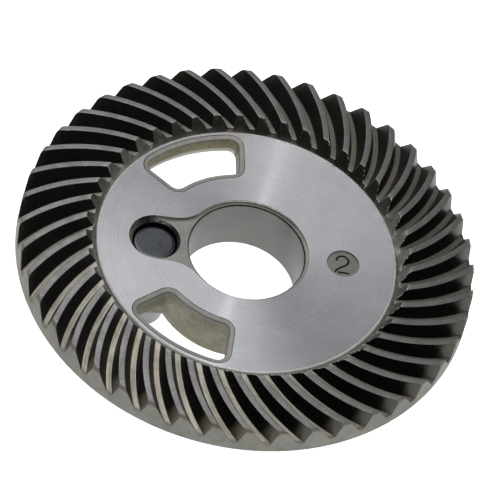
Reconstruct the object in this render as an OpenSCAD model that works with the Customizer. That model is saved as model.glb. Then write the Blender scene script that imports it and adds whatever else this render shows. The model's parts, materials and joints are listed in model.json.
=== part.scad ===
/* [Gear] */
// Outside diameter over the large ends of the teeth
outer_d = 78.6; // [74:0.2:90]
// Thickness from the flat face to the back of the rim
rim_t = 3.7; // [3.2:0.1:6]
// Depth from the flat face to the back end of the hub
hub_h = 11.3; // [9:0.1:16]
// Diameter of the bore
bore_d = 20; // [16:0.1:21]
// Diameter of the hub at its back end
hub_d = 29.3; // [27:0.1:30]
// Draft of the hub and the pin boss from the axis
draft_a = 9.5; // [2:0.5:12]
// Chamfer on the back edges of hub and bore
back_edge = 0.5; // [0.2:0.1:0.8]

/* [Teeth] */
// Number of teeth
tooth_count = 44; // [38:1:48]
// Width of the toothed band across the tips
band_w = 11.4; // [10:0.1:12]
// Height of the tooth tips above the flat face at the small end
toe_tip_h = 2.25; // [2:0.05:2.6]
// Height of the tooth tips above the flat face at the large end
heel_tip_h = 1.65; // [1.4:0.05:2]
// Height of the slot floor above the flat face at the small end
toe_floor_h = 0.4; // [0.2:0.05:0.6]
// Depth of the slot floor under the flat face at the large end
heel_floor_d = 1.48; // [1.2:0.02:1.6]
// Width of the slot floor
floor_w = 0.88; // [0.7:0.02:1]
// Slant of each tooth flank
flank_a = 21.5; // [19:0.5:23]
// Spiral angle at the middle of the band
spiral_a = 34.3; // [28:0.1:38]
// Radius of the cutter that curves the teeth
cutter_r = 29.8; // [26:0.2:36]
// Slant of the small ends of the teeth
toe_a = 53.5; // [45:0.5:65]
// Rounding of the tips at the large end
tip_round = 0.6; // [0.4:0.1:1]
// Lean of the large ends of the teeth
heel_lean = 0.1; // [0:0.05:0.3]
// Turn of the slots about the axis
tooth_turn = 0; // [-4:0.1:4]

/* [Flat face] */
// Depth of the groove between the flat face and the teeth
groove_d = 0.3; // [0.2:0.05:0.5]
// Depth of the keyhole recess
recess_d = 0.55; // [0.3:0.05:0.8]
// Width of the recess round the bore
recess_w = 0.65; // [0.4:0.05:1]
// Rounding where the recess narrows to the pin
recess_round = 6.2; // [4:0.1:8]
// Edge break at the mouth of the bore
mouth_edge = 0.2; // [0.1:0.05:0.3]
// Distance of the number spot from the axis
spot_at = 16.6; // [15:0.1:18]
// Diameter of the number spot
spot_d = 5.5; // [4:0.1:6]
// Depth of the number spot
spot_sink = 0.35; // [0.2:0.05:0.5]

/* [Windows] */
// Angle of each window's middle from the pin
window_at = 61.8; // [58:0.1:66]
// Angle that each window spans
window_span = 48.2; // [40:0.2:52]
// Metal left between a window and the rim of the flat face
window_rim = 0.55; // [0.4:0.05:1.5]
// Step between the hub's flank and the inner wall of a window
window_hub = 0.05; // [0.05:0.05:1]
// Rounding of the window corners
window_round = 1.6; // [1:0.1:2.4]
// Width of the sloped edge round each window
window_edge = 0.85; // [0.5:0.05:1]
// Depth of the sloped edge round each window
window_fall = 0.22; // [0.1:0.02:0.4]
// Draft of a window's wall at the rim
window_lean = 4.5; // [0:0.5:8]

/* [Crank pin] */
// Diameter of the pin's free length
pin_d = 8.2; // [7.8:0.1:9]
// Diameter of the pin's shank in the gear
shank_d = 7.7; // [7:0.1:7.7]
// Distance of the pin from the gear's axis
pin_at = 15.7; // [15.2:0.1:16.2]
// Clearance between shank and hole
shank_fit = 0; // [0:0.005:0.02]
// Depth of the pin's front end under the flat face
pin_sink = 1.5; // [1.3:0.1:2.5]
// Length that the pin stands out of its boss
pin_out = 8.8; // [6:0.1:16]
// Diameter of the flat on the pin's front end
pin_flat_d = 6; // [5:0.1:6.2]
// Diameter where the crowned front end turns to its bevel
pin_crown_d = 6.9; // [6.4:0.1:7]
// Height of the crown on the front end
pin_crown_h = 0.12; // [0.05:0.01:0.2]
// Height of the front end from its flat to the full shank
pin_bevel_h = 0.75; // [0.4:0.05:1]
// Chamfer on the free end
pin_edge = 0.5; // [0.3:0.1:0.8]
// Diameter of the countersink at the pin hole
sink_d = 9.3; // [9:0.1:9.6]
// Depth of the countersink
sink_h = 1.2; // [0.8:0.1:1.2]
// Diameter of the boss behind the pin
boss_d = 15.4; // [14.6:0.1:15.8]

/* [Hidden] */
$fn = 96;
// how far cutting shapes run past the faces that they cut
past = 1;
// the same for chamfers
lip = 0.25;
// steps for each rounded corner that is drawn with straight sides
steps = 6;
outer_r = outer_d / 2;
bore_r = bore_d / 2;
tip_heel_r = outer_r - heel_lean;
tip_toe_r = outer_r - band_w;
// the groove's foot lies where the slanted small ends come down to its depth
groove_r = tip_toe_r - (toe_tip_h + groove_d) / tan(toe_a);
flat_r = groove_r - groove_d;
// the slot floors lie on one cone, from the small ends to the large ends
floor_toe_r = groove_r + (toe_floor_h + groove_d) / tan(toe_a);
floor_a = atan((toe_floor_h + heel_floor_d) / (outer_r - floor_toe_r));
floor_apex = toe_floor_h + floor_toe_r * tan(floor_a);
mid_r = (outer_r + floor_toe_r) / 2;
mid_cone = mid_r / cos(floor_a);
// the cutter's blade stands a little over the tips
blade_h = heel_floor_d + heel_tip_h + lip;
blade_w = floor_w + 2 * blade_h * tan(flank_a);
// half the sweep of the cutter, as part of the band, that clears both its ends
sweep_part = 0.9;
sweep_a = sweep_part * band_w / cutter_r * 180 / PI;
hub_r = hub_d / 2;
hub_top_r = hub_r + (hub_h - rim_t) * tan(draft_a);
boss_r = boss_d / 2;
boss_top_r = boss_r + (hub_h - rim_t) * tan(draft_a);
// the neck between hub and boss lies a little inside the boss
neck_in = 0.3;
neck_w = boss_d - 2 * neck_in;
hole_r = shank_d / 2 + shank_fit;
ring_r = bore_r + recess_w;
neck_r = sink_d / 2;
window_out = flat_r - window_rim - window_edge;
// the inner wall of a window carries on the hub's draft through the web
window_h = rim_t - window_fall;
window_draw = (window_h + past) * tan(draft_a);
window_open = (window_h + past) * tan(window_lean);
window_in = hub_top_r + window_h * tan(draft_a) + window_hub;

// points along an arc about c, from angle a to angle b, less a few at both ends
function arc(c, r, a, b, n, less = 0) =
  [for (i = [less:n - less]) c + r * [cos(a + (b - a) * i / n), sin(a + (b - a) * i / n)]];

// outline of one window about its middle line, grown by g all round, by k at the hub and by j at the rim
function window_line(g, k = 0, j = 0) = let (
  half = window_span / 2,
  r = window_round,
  ro = window_out + j - r,
  ri = window_in - k + r,
  ao = half - asin((r + window_edge) / ro),
  ai = half - asin((r + window_edge) / ri),
  co = ro * [cos(ao), sin(ao)],
  ci = ri * [cos(ai), sin(ai)],
  do = ro * [cos(ao), -sin(ao)],
  di = ri * [cos(ai), -sin(ai)]
) concat(
  arc([0, 0], window_out + j + g, -ao, ao, 3 * steps, 1),
  arc(co, r + g, ao, 90 + half, steps),
  arc(ci, r + g, 90 + half, 180 + ai, steps),
  arc([0, 0], window_in - k - g, ai, -ai, 2 * steps, 1),
  arc(di, r + g, 180 - ai, 270 - half, steps),
  arc(do, r + g, 270 - half, 360 - ao, steps)
);

// a body with side faces between the given rings of points, one height for each ring
module rings(lines, heights) {
  n = len(lines[0]);
  m = len(lines);
  side = [for (i = [0:n - 1]) [i, n + i, n + (i + 1) % n, (i + 1) % n]];
  polyhedron(
    points = [for (k = [0:m - 1]) for (p = lines[k]) [p[0], p[1], heights[k]]],
    faces = concat(
      [[for (i = [0:n - 1]) i]],
      [for (k = [0:m - 2]) for (f = side) [for (v = f) v + k * n]],
      [[for (i = [0:n - 1]) m * n - 1 - i]]
    )
  );
}

module window_cut() {
  rings(
    [window_line(0, window_draw, window_open), window_line(0), window_line(window_edge + lip)],
    [-rim_t - past, -window_fall, lip * window_fall / window_edge]
  );
}

module turned_blank() {
  c = [tip_heel_r - tip_round, heel_tip_h - tip_round];
  rotate_extrude()
    polygon(concat(
      [
        [0, 0],
        [0, -rim_t],
        [outer_r - back_edge / 2, -rim_t],
        [outer_r, -rim_t + back_edge / 2]
      ],
      arc(c, tip_round, 0, 90, steps / 2),
      [
        [tip_toe_r, toe_tip_h],
        [groove_r, -groove_d],
        [flat_r, 0]
      ]
    ));
}

// one slot between two teeth, swept by the cutter about an axis square to the slot floor
module tooth_slot() {
  translate([0, 0, floor_apex])
    rotate([0, floor_a, 0])
      translate([mid_cone - cutter_r * sin(spiral_a), cutter_r * cos(spiral_a), 0])
        rotate([0, 0, spiral_a - 90 - sweep_a])
          rotate_extrude(angle = 2 * sweep_a)
            polygon([
              [cutter_r - floor_w / 2, 0],
              [cutter_r + floor_w / 2, 0],
              [cutter_r + blade_w / 2, blade_h],
              [cutter_r - blade_w / 2, blade_h]
            ]);
}

module toothed_blank() {
  difference() {
    difference() {
      turned_blank();
      for (i = [0:2:tooth_count - 1])
        rotate([0, 0, tooth_turn + i * 360 / tooth_count])
          tooth_slot();
    }
    for (i = [1:2:tooth_count - 1])
      rotate([0, 0, tooth_turn + i * 360 / tooth_count])
        tooth_slot();
  }
}

// hub and pin boss behind the web, drawn together towards the back
module hub() {
  translate([0, 0, -hub_h + back_edge])
    cylinder(r1 = hub_r + back_edge * tan(draft_a), r2 = hub_top_r, h = hub_h - rim_t - back_edge);
  translate([0, 0, -hub_h])
    cylinder(r1 = hub_r - back_edge, r2 = hub_r + back_edge * tan(draft_a), h = back_edge);
  translate([-pin_at, 0, -hub_h])
    cylinder(r1 = boss_r, r2 = boss_top_r, h = hub_h - rim_t);
  translate([-pin_at, -neck_w / 2, -hub_h])
    cube([pin_at, neck_w, hub_h - rim_t]);
}

// keyhole recess round the bore and the pin hole
module recess_cut() {
  fx = sqrt(pow(ring_r + recess_round, 2) - pow(neck_r + recess_round, 2));
  fy = neck_r + recess_round;
  fa = atan2(fy, fx);
  side = arc([-fx, fy], recess_round, -90, -fa, steps);
  translate([0, 0, -recess_d])
    cylinder(r = ring_r, h = recess_d + past);
  translate([0, 0, -recess_d])
    linear_extrude(recess_d + past)
      polygon(concat(
        [[-pin_at, neck_r]],
        side,
        [[-bore_r / 2, 0]],
        [for (i = [0:steps]) [side[steps - i][0], -side[steps - i][1]]],
        [[-pin_at, -neck_r]]
      ));
}

module bore_cut() {
  translate([0, 0, -hub_h - past])
    cylinder(r = bore_r, h = hub_h + 2 * past);
  translate([0, 0, -hub_h - past])
    cylinder(r1 = bore_r + back_edge + past, r2 = bore_r, h = back_edge + past);
  translate([0, 0, -recess_d - mouth_edge])
    cylinder(r1 = bore_r, r2 = bore_r + mouth_edge + lip, h = mouth_edge + lip);
}

module pin_hole_cut() {
  translate([-pin_at, 0, -hub_h - past])
    cylinder(r = hole_r, h = hub_h + 2 * past);
  translate([-pin_at, 0, -sink_h])
    cylinder(r1 = hole_r, r2 = sink_d / 2, h = sink_h);
  translate([-pin_at, 0, 0])
    cylinder(r = sink_d / 2, h = past);
}

module spot_cut() {
  translate([spot_at, 0, -spot_sink])
    cylinder(d = spot_d, h = spot_sink + past);
}

// heights count from the flat face, and the back of the rim lies at zero
module crown_gear() {
  color("#8f9296")
    translate([0, 0, rim_t])
      difference() {
        union() {
          toothed_blank();
          hub();
        }
        bore_cut();
        recess_cut();
        pin_hole_cut();
        spot_cut();
        rotate([0, 0, 180 - window_at])
          window_cut();
        rotate([0, 0, 180 + window_at])
          window_cut();
      }
}

// shouldered pin, pressed in from the back until its shoulder meets the boss
module crank_pin() {
  front = hub_h - pin_sink;
  color("#55595f")
    translate([-pin_at, 0, rim_t - hub_h])
      rotate_extrude()
        polygon([
          [0, -pin_out],
          [pin_d / 2 - pin_edge, -pin_out],
          [pin_d / 2, -pin_out + pin_edge],
          [pin_d / 2, 0],
          [shank_d / 2, 0],
          [shank_d / 2, front - pin_bevel_h],
          [pin_crown_d / 2, front - pin_crown_h],
          [pin_flat_d / 2, front],
          [0, front]
        ]);
}

crown_gear();
crank_pin();
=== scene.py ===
"""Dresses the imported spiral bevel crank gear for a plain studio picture.

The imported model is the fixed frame. The gear's shell is a merged copy of its solid with
broken edges, an engraved size mark and a finish of its own on each ground, cut or forged
surface. The crank pin keeps its solid and gets a better finish.
"""

from __future__ import annotations

import json
import logging
import math
from dataclasses import dataclass, field
from enum import Enum
import bpy
from mathutils import Matrix, Vector

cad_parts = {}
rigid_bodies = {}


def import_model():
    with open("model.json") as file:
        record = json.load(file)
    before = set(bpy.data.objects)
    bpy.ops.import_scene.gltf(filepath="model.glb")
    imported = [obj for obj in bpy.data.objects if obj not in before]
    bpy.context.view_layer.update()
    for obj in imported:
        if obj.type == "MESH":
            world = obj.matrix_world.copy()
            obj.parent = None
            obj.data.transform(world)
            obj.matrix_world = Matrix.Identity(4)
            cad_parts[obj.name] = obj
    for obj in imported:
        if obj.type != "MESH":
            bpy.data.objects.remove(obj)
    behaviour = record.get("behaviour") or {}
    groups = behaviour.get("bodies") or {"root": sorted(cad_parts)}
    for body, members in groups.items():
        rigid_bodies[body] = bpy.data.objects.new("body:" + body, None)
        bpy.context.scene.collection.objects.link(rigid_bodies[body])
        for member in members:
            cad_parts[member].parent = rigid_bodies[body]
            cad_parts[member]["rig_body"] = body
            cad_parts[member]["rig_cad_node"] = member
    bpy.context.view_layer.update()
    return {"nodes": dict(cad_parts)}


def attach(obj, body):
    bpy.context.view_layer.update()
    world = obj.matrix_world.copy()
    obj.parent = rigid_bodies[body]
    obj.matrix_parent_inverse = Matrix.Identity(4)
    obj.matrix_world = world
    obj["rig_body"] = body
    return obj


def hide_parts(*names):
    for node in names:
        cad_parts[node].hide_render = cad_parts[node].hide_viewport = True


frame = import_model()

LOG = logging.getLogger("gear")
MM = 0.001

# In millimetres: the pin's throw, and the cutter circle that the tooth slots follow.
PIN_AT = 15.7
CUTTER_R = 29.8
CUTTER_AT = 29.5

# The stretch of a pattern over which a finish goes from its dark tone to its light one.
TONE_LOW, TONE_HIGH = 0.36, 0.64
PATTERN_MIDDLE = 0.5

# The colour sockets of a Mix node share their names with others, so they go by number.
MIX_FIRST, MIX_SECOND, MIX_RESULT = 6, 7, 2

# A lamp's middle and half width, in its own coordinates.
LAMP_MIDDLE = (0.5, 0.5, 0.0)
LAMP_HALF = 0.5

WHITE = (1.0, 1.0, 1.0, 1.0)
Colour = tuple[float, float, float]
Point = tuple[float, float, float]
Socket = bpy.types.NodeSocket


class Surface(Enum):
    """The kinds of surface on the gear, in the order of its material slots."""

    FACE = 0
    RIM_EDGE = 1
    RECESS = 2
    RECESS_WALL = 3
    MOUTH = 4
    BORE = 5
    WINDOW_EDGE = 6
    WINDOW = 7
    SINK = 8
    SPOT = 9
    MARK = 10
    TOE = 11
    LAND = 12
    FLANK_IN = 13
    FLANK_OUT = 14
    FLOOR = 15
    HEEL = 16
    HUB = 17
    BACK = 18
    BURR = 19
    SEAM = 20
    RIM_ROUND = 21


class Along(Enum):
    """What a second tone follows: the distance from the gear's axis or the pin's, or the height."""

    RADIUS = "radius"
    PIN = "pin"
    HEIGHT = "height"


class Marks(Enum):
    """How fine tool marks lie: not at all, or along the tooth slots."""

    NONE = "none"
    ALONG = "along"


class Graph:
    """A material's node tree, with short calls for the nodes that the finishes share."""

    def __init__(self, name: str) -> None:
        """Starts a material with an empty tree and its object coordinates.

        Args:
            name: The material's name.
        """
        self.material = bpy.data.materials.new(name)
        self.material.use_nodes = True
        self.tree = self.material.node_tree
        self.tree.nodes.clear()
        self.output = self.tree.nodes.new("ShaderNodeOutputMaterial")
        self.shader = self.tree.nodes.new("ShaderNodeBsdfPrincipled")
        self.tree.links.new(self.shader.outputs["BSDF"], self.output.inputs["Surface"])
        self.place = self.tree.nodes.new("ShaderNodeTexCoord").outputs["Object"]
        apart = self.tree.nodes.new("ShaderNodeSeparateXYZ")
        self.tree.links.new(self.place, apart.inputs[0])
        self.x, self.y, self.z = apart.outputs

    def feed(self, socket: Socket, value: object) -> None:
        """Links a socket to an output, or sets its constant.

        Args:
            socket: The input to fill.
            value: An output socket, a number or a colour.
        """
        if isinstance(value, Socket):
            self.tree.links.new(value, socket)
        elif isinstance(value, tuple) and socket.type == "RGBA":
            socket.default_value = (*value[:3], 1.0)
        else:
            socket.default_value = value

    def math(self, operation: str, *values: object) -> Socket:
        """Adds a Math node.

        Args:
            operation: The node's operation.
            values: Its inputs, as sockets or numbers.

        Returns:
            The node's output.
        """
        node = self.tree.nodes.new("ShaderNodeMath")
        node.operation = operation
        for socket, value in zip(node.inputs, values):
            self.feed(socket, value)
        return node.outputs[0]

    def radius(self, x_at: float = 0.0) -> Socket:
        """The distance from an upright axis that crosses the X axis.

        Args:
            x_at: Where it crosses, in millimetres.

        Returns:
            The distance, in metres.
        """
        x = self.math("SUBTRACT", self.x, x_at * MM)
        x_square, y_square = self.math("MULTIPLY", x, x), self.math("MULTIPLY", self.y, self.y)
        return self.math("SQRT", self.math("ADD", x_square, y_square))

    def along(self, way: Along) -> Socket:
        """The length that a second tone follows, in metres."""
        if way is Along.HEIGHT:
            return self.z
        return self.radius(-PIN_AT if way is Along.PIN else 0.0)

    def slot_turn(self) -> Socket:
        """The angle about the axis less the curve of the slots, so the same all along a slot."""
        r = self.radius()
        square = self.math("MULTIPLY", r, r)
        over = self.math("ADD", square, (CUTTER_AT**2 - CUTTER_R**2) * MM * MM)
        under = self.math("MULTIPLY", r, 2 * CUTTER_AT * MM)
        lean = self.math("ARCCOSINE", self.math("DIVIDE", over, under))
        return self.math("ADD", self.math("ARCTAN2", self.y, self.x), lean)

    def away(self, point: Point) -> Socket:
        """The distance from a point.

        Args:
            point: The point, in millimetres.

        Returns:
            The distance, in metres.
        """
        node = self.tree.nodes.new("ShaderNodeVectorMath")
        node.operation = "DISTANCE"
        self.feed(node.inputs[0], self.place)
        node.inputs[1].default_value = tuple(v * MM for v in point)
        return node.outputs["Value"]

    def vector(self, x: object, y: object, z: object) -> Socket:
        """Puts three numbers together as a vector."""
        node = self.tree.nodes.new("ShaderNodeCombineXYZ")
        for socket, value in zip(node.inputs, (x, y, z)):
            self.feed(socket, value)
        return node.outputs[0]

    def noise(self, at: Socket, scale: float, detail: float, rough: float) -> Socket:
        """Adds a noise texture.

        Args:
            at: The coordinates.
            scale: Cells per metre.
            detail: Octaves.
            rough: How strong the fine octaves are.

        Returns:
            The noise, about 0 to 1.
        """
        node = self.tree.nodes.new("ShaderNodeTexNoise")
        self.feed(node.inputs["Vector"], at)
        node.inputs["Scale"].default_value = scale
        node.inputs["Detail"].default_value = detail
        node.inputs["Roughness"].default_value = rough
        return node.outputs["Fac"]

    def spread(self, value: object, low: float, high: float,
               to_low: float = 0.0, to_high: float = 1.0) -> Socket:
        """Maps a range smoothly on to another, and holds it there.

        Args:
            value: The number to map.
            low: Where the range starts.
            high: Where it ends.
            to_low: The result at its start.
            to_high: The result at its end.

        Returns:
            The mapped number.
        """
        node = self.tree.nodes.new("ShaderNodeMapRange")
        node.interpolation_type = "SMOOTHSTEP"
        for socket, number in zip(node.inputs, (value, low, high, to_low, to_high)):
            self.feed(socket, number)
        return node.outputs[0]

    def blend(self, first: Socket, second: Socket, share: float) -> Socket:
        """Weighs two patterns against each other.

        Args:
            first: The first pattern.
            second: The second pattern.
            share: The second pattern's weight.

        Returns:
            The weighed sum.
        """
        rest = self.math("MULTIPLY", first, 1 - share)
        return self.math("ADD", rest, self.math("MULTIPLY", second, share))

    def mix(self, share: object, first: object, second: object) -> Socket:
        """Mixes two colours.

        Args:
            share: How much of the second colour shows.
            first: A colour or a socket.
            second: A colour or a socket.

        Returns:
            The mixed colour.
        """
        node = self.tree.nodes.new("ShaderNodeMix")
        node.data_type = "RGBA"
        self.feed(node.inputs[0], share)
        self.feed(node.inputs[MIX_FIRST], first)
        self.feed(node.inputs[MIX_SECOND], second)
        return node.outputs[MIX_RESULT]

    def bump(self, height: Socket, depth: float, strength: float) -> None:
        """Roughens the surface by a height.

        Args:
            height: The pattern, about 0 to 1.
            depth: What 1 stands for, in metres.
            strength: How much of it shows.
        """
        node = self.tree.nodes.new("ShaderNodeBump")
        node.inputs["Strength"].default_value = strength
        node.inputs["Distance"].default_value = depth
        self.feed(node.inputs["Height"], height)
        self.feed(self.shader.inputs["Normal"], node.outputs[0])


@dataclass(frozen=True)
class Tint:
    """A second tone that comes in along one direction, in millimetres, with a ragged edge."""

    along: Along
    start: float
    end: float
    colour: Colour
    share: float = 1.0
    ragged: float = 0.0

    def shown(self, g: Graph, cloud: Socket) -> Socket:
        """Tells where the tone shows.

        Args:
            g: The material's tree.
            cloud: The pattern that frays the edge.

        Returns:
            How much of the tone shows, from 0 to 1.
        """
        fray = g.math("MULTIPLY", g.math("SUBTRACT", cloud, PATTERN_MIDDLE), self.ragged * MM)
        at = g.math("ADD", g.along(self.along), fray)
        return g.spread(at, self.start * MM, self.end * MM, 0.0, self.share)


@dataclass(frozen=True)
class Stain:
    """A soft patch of another tone round a point, in millimetres."""

    at: Point
    size: float
    colour: Colour
    share: float = 0.7
    break_low: float = 0.35
    break_high: float = 0.6

    def shown(self, g: Graph, cloud: Socket) -> Socket:
        """Tells where the patch shows.

        Args:
            g: The material's tree.
            cloud: The pattern that breaks the patch up.

        Returns:
            How much of the patch shows, from 0 to 1.
        """
        patch = g.spread(g.away(self.at), self.size * MM, 0.0, 0.0, self.share)
        return g.math("MULTIPLY", patch, g.spread(cloud, self.break_low, self.break_high))


@dataclass(frozen=True)
class Flecks:
    """Small bright or dark flecks strewn over a surface."""

    per_m: float
    colour: Colour
    level: float
    share: float = 1.0
    edge: float = 0.06
    detail: float = 2.0
    fine: float = 0.5

    def shown(self, g: Graph, cloud: Socket) -> Socket:
        """Tells where the flecks show.

        Args:
            g: The material's tree.
            cloud: The finish's own pattern, which every overlay is handed; not used, as flecks have
                theirs.

        Returns:
            How much of the flecks shows, from 0 to 1.
        """
        pattern = g.noise(g.place, self.per_m, self.detail, self.fine)
        return g.spread(pattern, self.level, self.level + self.edge, 0.0, self.share)


@dataclass(frozen=True)
class TurnedSteel:
    """Steel with fine turning or grinding lines round the axis, which draw highlights out."""

    name: str
    colour: Colour
    dark: Colour
    rough: float = 0.25
    drawn: float = 1.0
    lines_per_m: float = 4000.0
    upright: bool = False
    overlays: tuple[Tint | Stain | Flecks, ...] = ()
    line_detail: float = 3.0
    line_fine: float = 0.7
    line_depth: float = 0.000004
    line_strength: float = 0.35
    cloud_per_m: float = 220.0
    cloud_detail: float = 4.0
    cloud_fine: float = 0.6
    cloud_share: float = 0.3
    rough_from: float = 0.2
    rough_to: float = 0.8
    rough_range: float = 0.03

    def make(self) -> bpy.types.Material:
        """Builds the material.

        Returns:
            The finished material.
        """
        g = Graph(self.name)
        across = g.z if self.upright else g.radius()
        lines = g.noise(g.vector(across, 0.0, 0.0), self.lines_per_m,
                        self.line_detail, self.line_fine)
        cloud = g.noise(g.place, self.cloud_per_m, self.cloud_detail, self.cloud_fine)
        tone = g.blend(lines, cloud, self.cloud_share)
        colour = g.mix(g.spread(tone, TONE_LOW, TONE_HIGH), self.dark, self.colour)
        for overlay in self.overlays:
            colour = g.mix(overlay.shown(g, cloud), colour, overlay.colour)
        g.feed(g.shader.inputs["Base Color"], colour)
        g.shader.inputs["Metallic"].default_value = 1.0
        rough = g.spread(tone, self.rough_from, self.rough_to,
                         self.rough + self.rough_range, self.rough - self.rough_range)
        g.feed(g.shader.inputs["Roughness"], rough)
        g.shader.inputs["Anisotropic"].default_value = self.drawn
        grain = g.vector(0.0, 0.0, 1.0) if self.upright else g.vector(g.x, g.y, 0.0)
        g.feed(g.shader.inputs["Tangent"], grain)
        g.bump(lines, self.line_depth, self.line_strength)
        return g.material


@dataclass(frozen=True)
class CutSteel:
    """Steel as a cutter or a forge leaves it: mottled, satin, with a little grain."""

    name: str
    colour: Colour
    dark: Colour
    rough: float = 0.42
    metal: float = 1.0
    gloss: float = 0.5
    grain_per_m: float = 900.0
    grain_depth: float = 0.00001
    marks: Marks = Marks.NONE
    marks_per_m: float = 2500.0
    overlays: tuple[Tint | Stain | Flecks, ...] = ()
    grain_detail: float = 6.0
    grain_fine: float = 0.6
    grain_strength: float = 0.6
    mottle_coarser: float = 6.0
    mottle_detail: float = 3.0
    mottle_fine: float = 0.5
    mottle_share: float = 0.5
    marks_stretch: float = 0.06
    marks_detail: float = 2.0
    marks_fine: float = 0.6
    marks_share: float = 0.55
    rough_from: float = 0.25
    rough_to: float = 0.75
    rough_more: float = 0.08
    rough_less: float = 0.06

    def make(self) -> bpy.types.Material:
        """Builds the material.

        Returns:
            The finished material.
        """
        g = Graph(self.name)
        grain = g.noise(g.place, self.grain_per_m, self.grain_detail, self.grain_fine)
        mottle = g.noise(g.place, self.grain_per_m / self.mottle_coarser,
                         self.mottle_detail, self.mottle_fine)
        tone = g.blend(grain, mottle, self.mottle_share)
        if self.marks is Marks.ALONG:
            turn = g.math("MULTIPLY", g.slot_turn(), CUTTER_R * MM)
            slow = g.math("MULTIPLY", g.radius(), self.marks_stretch)
            lines = g.noise(g.vector(slow, turn, 0.0), self.marks_per_m,
                            self.marks_detail, self.marks_fine)
            tone = g.blend(tone, lines, self.marks_share)
        colour = g.mix(g.spread(tone, TONE_LOW, TONE_HIGH), self.dark, self.colour)
        for overlay in self.overlays:
            colour = g.mix(overlay.shown(g, grain), colour, overlay.colour)
        g.feed(g.shader.inputs["Base Color"], colour)
        g.shader.inputs["Metallic"].default_value = self.metal
        g.shader.inputs["Specular IOR Level"].default_value = self.gloss
        rough = g.spread(tone, self.rough_from, self.rough_to,
                         self.rough + self.rough_more, self.rough - self.rough_less)
        g.feed(g.shader.inputs["Roughness"], rough)
        g.bump(tone, self.grain_depth, self.grain_strength)
        return g.material


@dataclass(frozen=True)
class Limits:
    """What tells the gear's surfaces apart: gaps in millimetres, and parts of a unit normal."""

    groove_gap: float = 0.03
    level_gap: float = 0.02
    rim_gap: float = 0.05
    mark_gap: float = 0.004
    mouth_gap: float = 0.25
    slot_gap: float = 0.4
    burr_gap: float = 0.2
    spot_low: float = 1.0
    face_up: float = 0.95
    recess_up: float = 0.995
    level_up: float = 0.9999
    spot_up: float = 0.5
    floor_up: float = 0.9
    edge_up: float = 0.4
    lean_up: float = 0.3
    side: float = 0.4
    heel_out: float = 0.2
    axis_r: float = 1e-6


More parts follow.
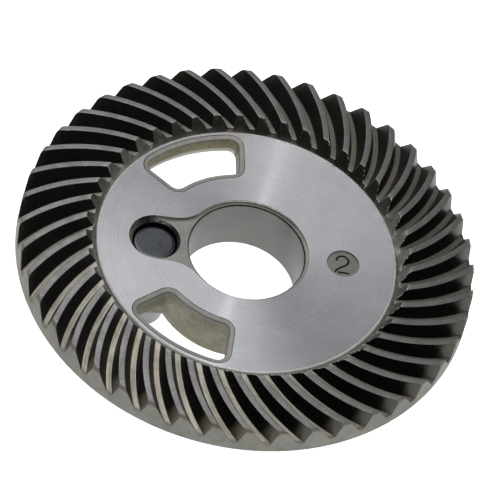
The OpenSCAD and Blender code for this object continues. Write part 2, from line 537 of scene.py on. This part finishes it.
@dataclass
class GearShell:
    """The gear's shell: a merged copy of its solid, with broken edges and its finishes.

    Sizes are in millimetres, in the model's frame.
    """

    node: str = "crown_gear"
    slot: str = "gear_steel"
    face_z: float = 3.7
    flat_r: float = 25.71
    groove_r: float = 26.01
    toe_r: float = 27.9
    heel_r: float = 38.45
    tip_toe_z: float = 5.95
    tip_slope: float = -0.0531
    bore_r: float = 10.0
    recess_z: float = 3.15
    sink_r: float = 4.7
    spot_at: float = 16.6
    spot_r: float = 2.8
    spot_z: float = 3.35
    mark_stroke: float = 0.19
    mark_depth: float = 0.18
    window_wall_r: float = 23.4
    tooth_break: float = 0.11
    window_break: float = 0.08
    edge_shade_width: float = 0.08
    recess_break: float = 0.06
    rim_break: float = 0.2
    burr_r: float = 28.2
    burr_width: float = 0.09
    merge: float = 0.001
    level_angle: float = 0.2
    smooth_angle: float = 32.0
    edge_shade_angle: float = 8.0
    even_weight: int = 100
    mark_steps: int = 6
    mark_sides: int = 3
    limits: Limits = Limits()
    mark: tuple[tuple[tuple[float, float], ...], ...] = (
        ((-1.14, 0.69), (-0.99, 1.34), (-0.35, 1.77), (0.26, 1.77), (0.78, 1.38), (0.97, 0.82),
         (0.78, 0.22), (0.35, -0.24), (-0.43, -0.73), (-1.04, -1.34), (-1.27, -1.75)),
        ((-0.80, -1.77), (0.26, -1.72), (1.14, -1.79)),
    )
    shell: bpy.types.Object | None = field(default=None, init=False)

    def surface_of(self, at: Vector, n: Vector) -> Surface:
        """Tells which surface a polygon of the shell belongs to.

        Args:
            at: The polygon's middle, in millimetres.
            n: Its normal.

        Returns:
            The kind of surface.
        """
        lim = self.limits
        r = max(math.hypot(at.x, at.y), lim.axis_r)
        out, turn = (at.x * n.x + at.y * n.y) / r, (at.x * n.y - at.y * n.x) / r
        if r > self.groove_r + lim.groove_gap:
            return self.tooth_surface(at, n, r, out, turn)
        if abs(at.z - self.face_z) < lim.level_gap and n.z > lim.face_up:
            return Surface.FACE
        if r > self.flat_r - lim.rim_gap and n.z > lim.lean_up:
            return Surface.RIM_EDGE
        if math.hypot(at.x - self.spot_at, at.y) < self.spot_r and at.z > lim.spot_low:
            if at.z < self.spot_z - lim.mark_gap:
                return Surface.MARK
            return Surface.SPOT if n.z > lim.spot_up else Surface.RECESS_WALL
        if n.z < -lim.lean_up:
            return Surface.BACK
        if at.z > self.recess_z - lim.level_gap and n.z > lim.recess_up:
            return Surface.RECESS
        if at.z > self.recess_z - lim.level_gap and n.z < lim.lean_up:
            return Surface.RECESS_WALL
        if math.hypot(at.x + PIN_AT, at.y) < self.sink_r:
            return Surface.SINK
        if r < self.bore_r + lim.mouth_gap:
            return Surface.MOUTH if n.z > lim.lean_up else Surface.BORE
        if at.z > 0.0 and n.z > lim.edge_up:
            return Surface.WINDOW_EDGE
        return Surface.WINDOW if at.z > 0.0 and r > self.window_wall_r else Surface.HUB

    def tooth_surface(self, at: Vector, n: Vector, r: float, out: float, turn: float) -> Surface:
        """Tells which surface of the toothed band a polygon belongs to.

        Args:
            at: The polygon's middle, in millimetres.
            n: Its normal.
            r: Its distance from the axis.
            out: How far its normal points outwards.
            turn: How far its normal points round the axis.

        Returns:
            The kind of surface.
        """
        lim = self.limits
        if n.z < -lim.lean_up:
            return Surface.BACK
        if abs(turn) > lim.side:
            return Surface.FLANK_OUT if out > 0 else Surface.FLANK_IN
        if out < -lim.side:
            return Surface.TOE
        tip_z = self.tip_toe_z + (r - self.toe_r) * self.tip_slope
        if n.z > lim.floor_up and at.z < tip_z - lim.slot_gap:
            return Surface.FLOOR
        if r > self.heel_r and (out > lim.heel_out or n.z < lim.floor_up):
            return Surface.HEEL
        return Surface.LAND

    def pick(self) -> None:
        """Selects the shell alone and makes it active."""
        bpy.ops.object.select_all(action="DESELECT")
        self.shell.select_set(True)
        bpy.context.view_layer.objects.active = self.shell

    def copy_solid(self) -> None:
        """Copies the gear's solid and merges its loose triangles."""
        self.shell = frame["nodes"][self.node]
        self.pick()
        bpy.ops.object.duplicate()
        self.shell = bpy.context.active_object
        self.shell.name = "gear_shell"
        self.shell.parent = None
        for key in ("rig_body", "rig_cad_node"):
            del self.shell[key]
        self.shell.data.materials.clear()
        bpy.ops.object.mode_set(mode="EDIT")
        bpy.ops.mesh.select_all(action="SELECT")
        bpy.ops.mesh.remove_doubles(threshold=self.merge * MM)
        bpy.ops.mesh.dissolve_limited(angle_limit=math.radians(self.level_angle))
        bpy.ops.object.mode_set(mode="OBJECT")

    def engrave(self) -> None:
        """Cuts the size mark into the floor of its spot with round-ended strokes."""
        strokes = []
        middle_z = self.spot_z + self.mark_stroke - self.mark_depth
        for points in self.mark:
            bpy.ops.object.select_all(action="DESELECT")
            bpy.ops.curve.primitive_nurbs_path_add()
            path = bpy.context.active_object
            curve = path.data
            curve.splines.clear()
            spline = curve.splines.new("BEZIER")
            spline.bezier_points.add(len(points) - 1)
            for knot, (x, y) in zip(spline.bezier_points, points):
                knot.co = ((self.spot_at + x) * MM, y * MM, middle_z * MM)
                knot.handle_left_type = knot.handle_right_type = "AUTO"
            spline.resolution_u = self.mark_steps
            curve.bevel_depth = self.mark_stroke * MM
            curve.bevel_resolution = self.mark_sides
            curve.use_fill_caps = True
            bpy.ops.object.convert(target="MESH")
            strokes.append(bpy.context.active_object)
        for stroke in strokes:
            cut = self.shell.modifiers.new("mark", "BOOLEAN")
            cut.operation, cut.solver, cut.object = "DIFFERENCE", "EXACT", stroke
            self.pick()
            bpy.ops.object.modifier_apply(modifier=cut.name)
            bpy.data.objects.remove(stroke)

    def sort_faces(self) -> None:
        """Gives each polygon the material slot of its surface."""
        for polygon in self.shell.data.polygons:
            polygon.material_index = self.surface_of(polygon.center / MM, polygon.normal).value

    def break_edges(self, kinds: set[Surface], among: set[Surface], width: float, steps: int,
                    finish: Surface | None = None, sharp: float = 25.0) -> None:
        """Bevels the sharp edges between surfaces.

        Args:
            kinds: Surfaces on one side of such an edge.
            among: Surfaces on its other side.
            width: The bevel's width, in millimetres.
            steps: Its segments.
            finish: The surface that the bevel becomes, or none for that of its neighbours.
            sharp: The least angle of such an edge, in degrees.
        """
        mesh = self.shell.data
        sides: dict[tuple[int, int], list[int]] = {}
        for polygon in mesh.polygons:
            for key in polygon.edge_keys:
                sides.setdefault(key, []).append(polygon.index)
        self.pick()
        bpy.ops.object.mode_set(mode="EDIT")
        bpy.ops.mesh.select_mode(type="EDGE")
        bpy.ops.mesh.select_all(action="DESELECT")
        bpy.ops.object.mode_set(mode="OBJECT")
        for edge in mesh.edges:
            near = [mesh.polygons[i] for i in sides.get(tuple(sorted(edge.vertices)), [])]
            if len(near) != 2 or near[0].normal.angle(near[1].normal, 0.0) < math.radians(sharp):
                continue
            a, b = (Surface(p.material_index) for p in near)
            edge.select = (a in kinds and b in among) or (b in kinds and a in among)
        bpy.ops.object.mode_set(mode="EDIT")
        bpy.ops.mesh.bevel(offset=width * MM, offset_type="OFFSET", segments=steps, profile=0.5,
                           affect="EDGES", clamp_overlap=False, loop_slide=False,
                           material=-1 if finish is None else finish.value)
        bpy.ops.object.mode_set(mode="OBJECT")

    def mark_burrs(self) -> None:
        """Gives the narrow strips along the toe edges a surface of their own, for the burrs."""
        mesh = self.shell.data
        start_r = self.groove_r + self.limits.burr_gap
        for polygon in mesh.polygons:
            at = polygon.center / MM
            if not start_r < math.hypot(at.x, at.y) < self.burr_r or at.z < self.face_z:
                continue
            ends = [mesh.vertices[i].co for i in polygon.vertices]
            longest = max((a - b).length for a, b in zip(ends, ends[1:] + ends[:1]))
            if polygon.area / longest < self.burr_width * MM:
                polygon.material_index = Surface.BURR.value

    def shade(self) -> None:
        """Shades the rounded edges smoothly and keeps the flat surfaces flat."""
        self.pick()
        bpy.ops.object.shade_smooth_by_angle(angle=math.radians(self.smooth_angle))
        flat = {Surface.FACE, Surface.FLOOR, Surface.SPOT, Surface.BACK}
        for polygon in self.shell.data.polygons:
            level = abs(polygon.normal.z) > self.limits.level_up
            if level or Surface(polygon.material_index) in flat:
                polygon.use_smooth = False
        even = self.shell.modifiers.new("even", "WEIGHTED_NORMAL")
        even.weight, even.keep_sharp = self.even_weight, True
        bpy.ops.object.modifier_apply(modifier=even.name)

    def build(self) -> None:
        """Makes the shell's mesh and breaks its edges."""
        self.copy_solid()
        self.coat()
        self.engrave()
        self.sort_faces()
        S = Surface
        ends = {S.LAND, S.TOE, S.HEEL}
        self.break_edges(ends, ends | {S.FLANK_IN, S.FLANK_OUT, S.FLOOR}, self.tooth_break, 2)
        self.mark_burrs()
        # Both outlines of each window chamfer get dark strips: painted shade along the rounded
        # edges.
        self.break_edges({S.WINDOW_EDGE}, {S.FACE}, self.edge_shade_width, 1, S.SEAM, self.edge_shade_angle)
        self.break_edges({S.WINDOW_EDGE}, {S.WINDOW, S.HUB}, self.window_break, 2, S.SEAM)
        # The keyhole's rim strip takes the bore mouth's near-black finish: painted shade along that
        # edge.
        self.break_edges({S.FACE}, {S.RECESS_WALL}, self.recess_break, 1, S.MOUTH)
        self.break_edges({S.FACE}, {S.RIM_EDGE}, self.rim_break, 2, S.RIM_ROUND)
        self.shade()

    def coat(self) -> None:
        """Gives the shell its finishes, in the order of Surface."""
        S = Surface
        black, soot = (0.016, 0.015, 0.0145), (0.009, 0.0085, 0.008)
        # Flanks lighter towards the heel: partly bare metal, partly a painted reflection of the
        # bright surroundings.
        bare_and_reflection = Tint(Along.RADIUS, 36.9, 38.0, (0.12, 0.112, 0.082), 1.0, 0.8)
        faint_bare_and_reflection = Tint(Along.RADIUS, 37.8, 39.0, (0.05, 0.047, 0.035), 0.6, 0.8)
        rust = Stain((-3.2, 25.3, 3.7), 2.6, (0.5, 0.27, 0.12), 0.8)
        speck = Stain((14.3, 21.3, 3.6), 0.6, (0.3, 0.15, 0.07), 0.9)
        brown = Stain((-8.2, -13.2, 3.6), 2.2, (0.36, 0.25, 0.17))
        # White flecks on the toe-edge burrs: painted glints; the burrs themselves are real.
        painted_burr_glints = Flecks(2200.0, (0.95, 0.95, 0.93), 0.5)
        # Lands lighter towards their toe ends: a painted highlight of the rounded toe ends.
        toe_end_highlight = Tint(Along.RADIUS, 28.9, 28.1, (0.5, 0.5, 0.49), 0.3, 0.8)
        # Slot floors lighter cream towards the toe: painted light on the lit floor ends.
        end = Tint(Along.RADIUS, 28.3, 27.2, (0.62, 0.59, 0.5), 0.35, 0.8)
        lip = Tint(Along.RADIUS, 38.7, 38.85, (0.24, 0.235, 0.22))
        pale = Tint(Along.HEIGHT, 1.3, 0.5, (0.6, 0.6, 0.56), 0.9, 0.6)
        grey = Tint(Along.HEIGHT, 1.6, 2.8, (0.2, 0.2, 0.185), 0.7, 0.8)
        # Bluish-white specks near the top of the pin seat: a painted glint.
        painted_glint = Stain((-14.7, 4.5, 3.2), 2.8, (0.85, 0.9, 1.0), 1.0)
        # A lighter patch on the pin seat's left wall: a painted reflection of light from the right.
        side = Stain((-20.2, 0.6, 3.3), 4.4, (0.4, 0.4, 0.345), 1.0)
        # Near-black low in the pin seat, round the pin: painted shade in the gap.
        shade = Tint(Along.HEIGHT, 2.74, 2.6, (0.003, 0.003, 0.003))
        finishes = {
            S.FACE: TurnedSteel("ground_face", (0.60, 0.61, 0.635), (0.51, 0.52, 0.545),
                                overlays=(rust, speck)),
            S.RIM_EDGE: CutSteel("rim_edge", (0.36, 0.355, 0.34), (0.24, 0.235, 0.225), 0.4, 0.3,
                                 overlays=(rust, speck)),
            S.RECESS: CutSteel("recess_floor", (0.36, 0.36, 0.34), (0.30, 0.30, 0.28)),
            S.RECESS_WALL: CutSteel("recess_wall", (0.95, 0.88, 0.82), (0.86, 0.76, 0.68), 0.28),
            # The bore mouth chamfer is near-black: painted shade at the mouth.
            S.MOUTH: CutSteel("bore_mouth_shade", (0.08, 0.08, 0.073), (0.055, 0.055, 0.05)),
            S.BORE: TurnedSteel("bored_wall", (0.19, 0.19, 0.182), (0.155, 0.155, 0.15), 0.38, 0.6,
                                upright=True),
            S.WINDOW_EDGE: CutSteel("window_edge", (0.53, 0.515, 0.485), (0.43, 0.415, 0.39),
                                    0.5, 0.2, overlays=(brown,)),
            S.WINDOW: CutSteel("window_wall", (0.27, 0.24, 0.145), (0.18, 0.16, 0.09), 0.6, 0.5,
                               overlays=(pale,)),
            S.SINK: CutSteel("pin_seat", (0.06, 0.062, 0.07), (0.03, 0.031, 0.035), 0.35, 0.2,
                             grain_per_m=2600.0, overlays=(side, painted_glint, shade)),
            S.SPOT: CutSteel("spot_floor", (0.31, 0.31, 0.29), (0.25, 0.25, 0.23), 0.55, 0.5),
            S.MARK: CutSteel("size_mark", (0.026, 0.025, 0.019), (0.014, 0.0135, 0.0105), 0.6, 0.3),
            S.TOE: CutSteel("tooth_toe", (0.37, 0.365, 0.33), (0.21, 0.205, 0.185), 0.28),
            S.LAND: CutSteel("tooth_land", (0.315, 0.315, 0.306), (0.22, 0.22, 0.212), 0.37, 0.85,
                             grain_per_m=2600.0, overlays=(toe_end_highlight,)),
            S.FLANK_IN: CutSteel("flank_inner", (0.026, 0.025, 0.0235), (0.016, 0.015, 0.014),
                                 0.34, 0.0, 0.3, overlays=(faint_bare_and_reflection,)),
            S.FLANK_OUT: CutSteel("flank_outer", black, soot, 0.34, 0.0, 0.3, overlays=(bare_and_reflection,)),
            S.FLOOR: CutSteel("slot_floor", (0.445, 0.416, 0.348), (0.25, 0.234, 0.192),
                              marks=Marks.ALONG, overlays=(lip, end)),
            S.HEEL: CutSteel("tooth_heel", (0.305, 0.298, 0.265), (0.245, 0.239, 0.208),
                             0.6, 0.2, 0.2),
            S.HUB: CutSteel("hub_flank", (0.225, 0.213, 0.15), (0.155, 0.146, 0.1), 0.6, 0.5,
                            grain_per_m=1500.0, overlays=(grey,)),
            S.BACK: CutSteel("gear_back", (0.42, 0.42, 0.41), (0.36, 0.36, 0.35)),
            S.BURR: CutSteel("toe_burr_and_glints", (0.06, 0.06, 0.053), (0.03, 0.03, 0.026), 0.3, 0.3,
                             overlays=(painted_burr_glints,)),
            # Dark strips along the window outlines: painted shade.
            S.SEAM: CutSteel("painted_edge_shade", (0.16, 0.16, 0.153), (0.1, 0.1, 0.095), 0.45),
            # Near-white rounded rim: partly its polish, partly a painted highlight.
            S.RIM_ROUND: CutSteel("rim_round_highlight", (0.95, 0.94, 0.91), (0.8, 0.79, 0.76), 0.3, 0.1,
                                  overlays=(rust, speck)),
        }
        for kind in Surface:
            self.shell.data.materials.append(finishes[kind].make())

    def dress(self) -> None:
        """Hands the shell over in place of its solid."""
        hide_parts(self.node)
        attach(self.shell, "root")
        LOG.info("%s: %d polygons", self.shell.name, len(self.shell.data.polygons))


@dataclass
class CrankPin:
    """The crank pin keeps its solid: a blackened front end and a ground free length."""

    node: str = "crank_pin"

    def dress(self) -> None:
        """Gives the pin its finish."""
        pin = frame["nodes"][self.node]
        pin.data.materials.clear()
        edge = Tint(Along.PIN, 3.1, 3.5, (0.2, 0.2, 0.2))
        ground = Tint(Along.HEIGHT, -7.0, -7.6, (0.26, 0.26, 0.262))
        finish = CutSteel("pin_front", (0.10, 0.106, 0.118), (0.074, 0.079, 0.088), 0.36,
                          overlays=(edge, ground))
        pin.data.materials.append(finish.make())
        LOG.info("%s: finish", pin.name)


@dataclass(frozen=True)
class Softbox:
    """A round lamp that fades towards its rim, aimed at the gear."""

    name: str
    azimuth: float
    elevation: float
    distance: float
    width: float
    power: float

    def place(self) -> None:
        """Hangs the lamp."""
        a, e = math.radians(self.azimuth), math.radians(self.elevation)
        way = Vector((math.cos(a) * math.cos(e), math.sin(a) * math.cos(e), math.sin(e)))
        lamp = bpy.data.lights.new(self.name, "AREA")
        lamp.shape, lamp.size, lamp.energy = "DISK", self.width, self.power
        lamp.use_nodes = True
        tree = lamp.node_tree
        glow = next(node for node in tree.nodes if node.type == "EMISSION")
        across = tree.nodes.new("ShaderNodeNewGeometry").outputs["Parametric"]
        off = tree.nodes.new("ShaderNodeVectorMath")
        off.operation = "DISTANCE"
        off.inputs[1].default_value = LAMP_MIDDLE
        fade = tree.nodes.new("ShaderNodeMapRange")
        fade.interpolation_type = "SMOOTHSTEP"
        for socket, value in zip(fade.inputs[1:], (0.0, LAMP_HALF, 1.0, 0.0)):
            socket.default_value = value
        tree.links.new(across, off.inputs[0])
        tree.links.new(off.outputs["Value"], fade.inputs[0])
        tree.links.new(fade.outputs[0], glow.inputs["Strength"])
        holder = bpy.data.objects.new(self.name, lamp)
        holder.location = way * self.distance
        holder.rotation_euler = (-way).to_track_quat("-Z", "Y").to_euler()
        holder.visible_camera = False
        bpy.context.scene.collection.objects.link(holder)


@dataclass
class Studio:
    """The floor, the lamps and the camera."""

    floor_z: float = -16.45
    floor_half: float = 3.0
    paper: Colour = (0.88, 0.88, 0.88)
    paper_light: Colour = (0.9, 0.9, 0.9)
    paper_rough: float = 0.9
    paper_glow: float = 0.95
    clouds_per_m: float = 30.0
    cloud_detail: float = 3.0
    cloud_fine: float = 0.5
    sky: float = 0.012
    backdrop: float = 1.0
    lens: float = 288.0
    sensor: float = 36.0
    near: float = 0.01
    far: float = 50.0
    camera_at: Vector = field(default_factory=lambda: Vector((-71.8, -424.5, 530.3)))
    camera_right: Vector = field(default_factory=lambda: Vector((0.9842, 0.0447, 0.1711)))
    camera_up: Vector = field(default_factory=lambda: Vector((-0.1413, 0.7801, 0.6095)))
    lamps: tuple[Softbox, ...] = (
        Softbox("back", 100.0, 54.0, 0.5, 0.6, 0.90),
        Softbox("front_high", -60.0, 75.0, 0.5, 0.6, 0.62),
        Softbox("back_high", 120.0, 75.0, 0.5, 0.6, 0.79),
        Softbox("top", -100.0, 89.0, 0.6, 0.5, 0.70),
        Softbox("right_back", 20.0, 33.0, 0.5, 0.6, 0.64),
        Softbox("left_low", 140.0, 33.0, 0.5, 0.6, 0.56),
        Softbox("left", 140.0, 54.0, 0.5, 0.6, 0.48),
        Softbox("front_right", -60.0, 54.0, 0.5, 0.6, 0.10),
        Softbox("right", -20.0, 33.0, 0.5, 0.6, 0.12),
        Softbox("front", -100.0, 62.0, 0.5, 0.6, 0.10),
        Softbox("left_flat", 150.0, 12.0, 0.5, 0.6, 0.55),
        Softbox("back_flat", 84.0, 16.0, 0.5, 0.5, 0.28),
        Softbox("right_flat", 0.0, 14.0, 0.5, 0.5, 0.16),
        Softbox("spark", 180.0, 88.5, 0.8, 0.012, 0.9),
    )

    def lay_floor(self) -> None:
        """Lays a plain white floor under the pin's end."""
        bpy.ops.object.select_all(action="DESELECT")
        middle = (0.0, 0.0, self.floor_z * MM)
        bpy.ops.mesh.primitive_plane_add(size=2 * self.floor_half, location=middle)
        floor = bpy.context.active_object
        floor.name = "floor"
        g = Graph("floor_paper")
        cloud = g.noise(g.place, self.clouds_per_m, self.cloud_detail, self.cloud_fine)
        g.feed(g.shader.inputs["Base Color"], g.mix(cloud, self.paper, self.paper_light))
        g.shader.inputs["Roughness"].default_value = self.paper_rough
        g.shader.inputs["Emission Color"].default_value = WHITE
        g.shader.inputs["Emission Strength"].default_value = self.paper_glow
        floor.data.materials.append(g.material)

    def set_camera(self) -> None:
        """Places the camera at the photograph's viewing angle."""
        data = bpy.data.cameras.new("camera")
        data.lens, data.sensor_width = self.lens, self.sensor
        data.clip_start, data.clip_end = self.near, self.far
        camera = bpy.data.objects.new("camera", data)
        right = self.camera_right.normalized()
        up = (self.camera_up - right * self.camera_up.dot(right)).normalized()
        back = right.cross(up)
        turn = Matrix((right, up, back)).transposed().to_4x4()
        camera.matrix_world = Matrix.Translation(self.camera_at * MM) @ turn
        bpy.context.scene.collection.objects.link(camera)
        bpy.context.scene.camera = camera

    def light(self) -> None:
        """Hangs the lamps and sets a dim sky that looks white to the camera."""
        for lamp in self.lamps:
            lamp.place()
        world = bpy.data.worlds.new("sky")
        world.use_nodes = True
        tree = world.node_tree
        seen = tree.nodes.new("ShaderNodeLightPath").outputs["Is Camera Ray"]
        level = tree.nodes.new("ShaderNodeMapRange")
        level.inputs["To Min"].default_value = self.sky
        level.inputs["To Max"].default_value = self.backdrop
        tree.links.new(seen, level.inputs["Value"])
        glow = tree.nodes["Background"]
        glow.inputs["Color"].default_value = WHITE
        tree.links.new(level.outputs["Result"], glow.inputs["Strength"])
        bpy.context.scene.world = world
        bpy.context.scene.view_settings.view_transform = "Standard"

    def build(self) -> None:
        """Sets the whole stage."""
        self.lay_floor()
        self.light()
        self.set_camera()


def main() -> None:
    """Builds and dresses each piece, then the stage."""
    logging.basicConfig(level=logging.INFO, format="%(name)s %(message)s")
    shell = GearShell()
    shell.build()
    shell.dress()
    CrankPin().dress()
    Studio().build()


if __name__ == "__main__":
    main()
